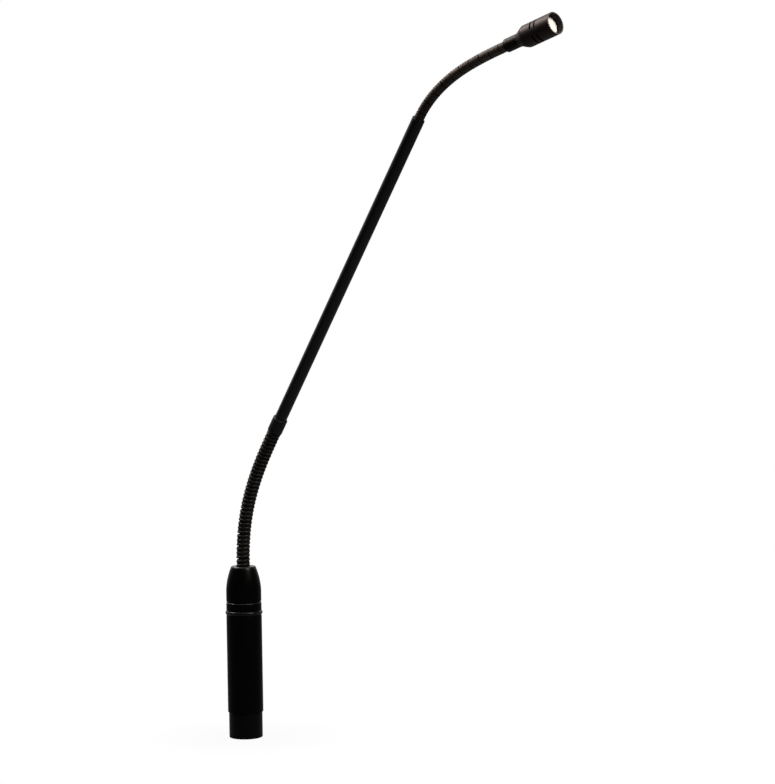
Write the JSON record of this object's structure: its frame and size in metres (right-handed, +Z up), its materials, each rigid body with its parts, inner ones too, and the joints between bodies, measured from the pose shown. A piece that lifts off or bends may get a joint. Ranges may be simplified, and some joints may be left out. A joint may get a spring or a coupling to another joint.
{
  "type": "gooseneck podium microphone",
  "caption": "Slim podium microphone: plug and preamp barrel, two flexible goosenecks joined by a straight stem, and a slotted capsule head.",
  "frame": {"origin": "centre of the plug's open end, where the microphone goes into its socket", "axes": "+Z up along the barrel, +X the way the neck leans forward"},
  "size_m": [0.2464, 0.021, 0.3871],
  "materials": {
    "black_paint": "satin black paint",
    "satin_black_metal": "satin black plating",
    "browned_metal": "dark brown-black plating",
    "black_rubber": "matt black",
    "insulator": "matt black",
    "silvered_metal": "bright",
    "contact_metal": "silver plated",
    "circuit_board": "green solder mask",
    "capacitor_can": "sleeved",
    "film": "metallised",
    "lead_jacket": "matt black"
  },
  "bodies": {
    "base": {"plug_shell": "satin_black_metal", "plug_insert": "insulator", "plug_pin_1": "contact_metal", "plug_pin_2": "contact_metal", "plug_pin_3": "contact_metal", "insert_screw": "silvered_metal", "preamp_barrel": "black_paint", "preamp_board": "circuit_board", "board_capacitor_1": "capacitor_can", "board_capacitor_2": "capacitor_can", "seal_ring": "black_rubber", "barrel_collar": "black_paint", "barrel_cap": "black_paint", "neck_ferrule": "satin_black_metal", "neck_lock_nut": "satin_black_metal", "lower_lead": "lead_jacket", "lower_neck_01": "black_paint"},
    "lower_link_02": {"lower_neck_02": "black_paint"},
    "lower_link_03": {"lower_neck_03": "black_paint"},
    "lower_link_04": {"lower_neck_04": "black_paint"},
    "lower_link_05": {"lower_neck_05": "black_paint"},
    "lower_link_06": {"lower_neck_06": "black_paint"},
    "lower_link_07": {"lower_neck_07": "black_paint"},
    "lower_link_08": {"lower_neck_08": "black_paint"},
    "lower_link_09": {"lower_neck_09": "black_paint"},
    "lower_link_10": {"lower_neck_10": "black_paint"},
    "lower_link_11": {"lower_neck_11": "black_paint"},
    "stem": {"lower_neck_12": "black_paint", "lower_coupling": "satin_black_metal", "stem_tube": "black_paint", "stem_lead": "lead_jacket", "upper_neck_root": "satin_black_metal", "upper_lead": "lead_jacket", "upper_neck_01": "satin_black_metal"},
    "upper_link_02": {"upper_neck_02": "satin_black_metal"},
    "upper_link_03": {"upper_neck_03": "satin_black_metal"},
    "upper_link_04": {"upper_neck_04": "satin_black_metal"},
    "upper_link_05": {"upper_neck_05": "satin_black_metal"},
    "upper_link_06": {"upper_neck_06": "satin_black_metal"},
    "upper_link_07": {"upper_neck_07": "satin_black_metal"},
    "upper_link_08": {"upper_neck_08": "satin_black_metal"},
    "upper_link_09": {"upper_neck_09": "satin_black_metal"},
    "upper_link_10": {"upper_neck_10": "satin_black_metal"},
    "head": {"upper_neck_11": "satin_black_metal", "head_socket": "browned_metal", "capsule_sleeve": "browned_metal", "front_mesh": "silvered_metal", "capsule_gasket": "black_rubber", "capsule_case": "silvered_metal", "diaphragm_ring": "contact_metal", "diaphragm": "film", "backplate": "contact_metal", "capsule_board": "circuit_board", "port_screen": "black_rubber"}
  },
  "joints": [
    {"name": "lower_bend", "type": "hinge", "parent": "base", "child": "lower_link_02", "pos_m": [0.00003, 0, 0.10136], "axis": [0, 1, 0], "range_deg": [-9.5, 9.5], "deforming": ["lower_lead"]},
    {"name": "lower_sway", "type": "hinge", "parent": "lower_link_02", "child": "lower_link_03", "pos_m": [0.00034, 0, 0.10851], "axis": [0.9974, 0, -0.0722], "range_deg": [-9.5, 9.5], "deforming": ["lower_lead"]},
    {"name": "lower_bend_2", "type": "hinge", "parent": "lower_link_03", "child": "lower_link_04", "pos_m": [0.00109, 0, 0.11563], "axis": [0, 1, 0], "range_deg": [-9.5, 9.5], "deforming": ["lower_lead"]},
    {"name": "lower_sway_2", "type": "hinge", "parent": "lower_link_04", "child": "lower_link_05", "pos_m": [0.00236, 0, 0.12267], "axis": [0.977, 0, -0.2132], "range_deg": [-9.5, 9.5], "deforming": ["lower_lead"]},
    {"name": "lower_bend_3", "type": "hinge", "parent": "lower_link_05", "child": "lower_link_06", "pos_m": [0.00414, 0, 0.1296], "axis": [0, 1, 0], "range_deg": [-9.5, 9.5], "deforming": ["lower_lead"]},
    {"name": "lower_sway_3", "type": "hinge", "parent": "lower_link_06", "child": "lower_link_07", "pos_m": [0.00643, 0, 0.13638], "axis": [0.9359, 0, -0.3523], "range_deg": [-9.5, 9.5], "deforming": ["lower_lead"]},
    {"name": "lower_bend_4", "type": "hinge", "parent": "lower_link_07", "child": "lower_link_08", "pos_m": [0.00917, 0, 0.14299], "axis": [0, 1, 0], "range_deg": [-9.5, 9.5], "deforming": ["lower_lead"]},
    {"name": "lower_sway_4", "type": "hinge", "parent": "lower_link_08", "child": "lower_link_09", "pos_m": [0.01231, 0, 0.14942], "axis": [0.8858, 0, -0.4641], "range_deg": [-9.5, 9.5], "deforming": ["lower_lead"]},
    {"name": "lower_bend_5", "type": "hinge", "parent": "lower_link_09", "child": "lower_link_10", "pos_m": [0.01579, 0, 0.15568], "axis": [0, 1, 0], "range_deg": [-9.5, 9.5], "deforming": ["lower_lead"]},
    {"name": "lower_sway_5", "type": "hinge", "parent": "lower_link_10", "child": "lower_link_11", "pos_m": [0.01953, 0, 0.16179], "axis": [0.8438, 0, -0.5366], "range_deg": [-9.5, 9.5], "deforming": ["lower_lead"]},
    {"name": "lower_bend_6", "type": "hinge", "parent": "lower_link_11", "child": "stem", "pos_m": [0.02345, 0, 0.16778], "axis": [0, 1, 0], "range_deg": [-9.5, 9.5], "deforming": ["lower_lead"]},
    {"name": "upper_bend", "type": "hinge", "parent": "stem", "child": "upper_link_02", "pos_m": [0.1439, 0, 0.34365], "axis": [0, 1, 0], "range_deg": [-9.5, 9.5], "deforming": ["upper_lead"]},
    {"name": "upper_sway", "type": "hinge", "parent": "upper_link_02", "child": "upper_link_03", "pos_m": [0.14868, 0, 0.34879], "axis": [0.6864, 0, -0.7272], "range_deg": [-9.5, 9.5], "deforming": ["upper_lead"]},
    {"name": "upper_bend_2", "type": "hinge", "parent": "upper_link_03", "child": "upper_link_04", "pos_m": [0.15405, 0, 0.35329], "axis": [0, 1, 0], "range_deg": [-9.5, 9.5], "deforming": ["upper_lead"]},
    {"name": "upper_sway_2", "type": "hinge", "parent": "upper_link_04", "child": "upper_link_05", "pos_m": [0.15988, 0, 0.3572], "axis": [0.5171, 0, -0.8559], "range_deg": [-9.5, 9.5], "deforming": ["upper_lead"]},
    {"name": "upper_bend_3", "type": "hinge", "parent": "upper_link_05", "child": "upper_link_06", "pos_m": [0.16603, 0, 0.36057], "axis": [0, 1, 0], "range_deg": [-9.5, 9.5], "deforming": ["upper_lead"]},
    {"name": "upper_sway_3", "type": "hinge", "parent": "upper_link_06", "child": "upper_link_07", "pos_m": [0.17242, 0, 0.36348], "axis": [0.3841, 0, -0.9233], "range_deg": [-9.5, 9.5], "deforming": ["upper_lead"]},
    {"name": "upper_bend_4", "type": "hinge", "parent": "upper_link_07", "child": "upper_link_08", "pos_m": [0.17897, 0, 0.36599], "axis": [0, 1, 0], "range_deg": [-9.5, 9.5], "deforming": ["upper_lead"]},
    {"name": "upper_sway_4", "type": "hinge", "parent": "upper_link_08", "child": "upper_link_09", "pos_m": [0.18563, 0, 0.3682], "axis": [0.2977, 0, -0.9547], "range_deg": [-9.5, 9.5], "deforming": ["upper_lead"]},
    {"name": "upper_bend_5", "type": "hinge", "parent": "upper_link_09", "child": "upper_link_10", "pos_m": [0.19236, 0, 0.3702], "axis": [0, 1, 0], "range_deg": [-9.5, 9.5], "deforming": ["upper_lead"]},
    {"name": "upper_sway_5", "type": "hinge", "parent": "upper_link_10", "child": "head", "pos_m": [0.19913, 0, 0.37206], "axis": [0.2601, 0, -0.9656], "range_deg": [-9.5, 9.5], "deforming": ["upper_lead"]}
  ],
  "couplings": [
    {"joint": "lower_bend_2", "follows": "lower_bend", "ratio": 1},
    {"joint": "lower_sway_2", "follows": "lower_sway", "ratio": 1},
    {"joint": "lower_bend_3", "follows": "lower_bend", "ratio": 1},
    {"joint": "lower_sway_3", "follows": "lower_sway", "ratio": 1},
    {"joint": "lower_bend_4", "follows": "lower_bend", "ratio": 1},
    {"joint": "lower_sway_4", "follows": "lower_sway", "ratio": 1},
    {"joint": "lower_bend_5", "follows": "lower_bend", "ratio": 1},
    {"joint": "lower_sway_5", "follows": "lower_sway", "ratio": 1},
    {"joint": "lower_bend_6", "follows": "lower_bend", "ratio": 1},
    {"joint": "upper_bend_2", "follows": "upper_bend", "ratio": 1},
    {"joint": "upper_sway_2", "follows": "upper_sway", "ratio": 1},
    {"joint": "upper_bend_3", "follows": "upper_bend", "ratio": 1},
    {"joint": "upper_sway_3", "follows": "upper_sway", "ratio": 1},
    {"joint": "upper_bend_4", "follows": "upper_bend", "ratio": 1},
    {"joint": "upper_sway_4", "follows": "upper_sway", "ratio": 1},
    {"joint": "upper_bend_5", "follows": "upper_bend", "ratio": 1},
    {"joint": "upper_sway_5", "follows": "upper_sway", "ratio": 1}
  ]
}
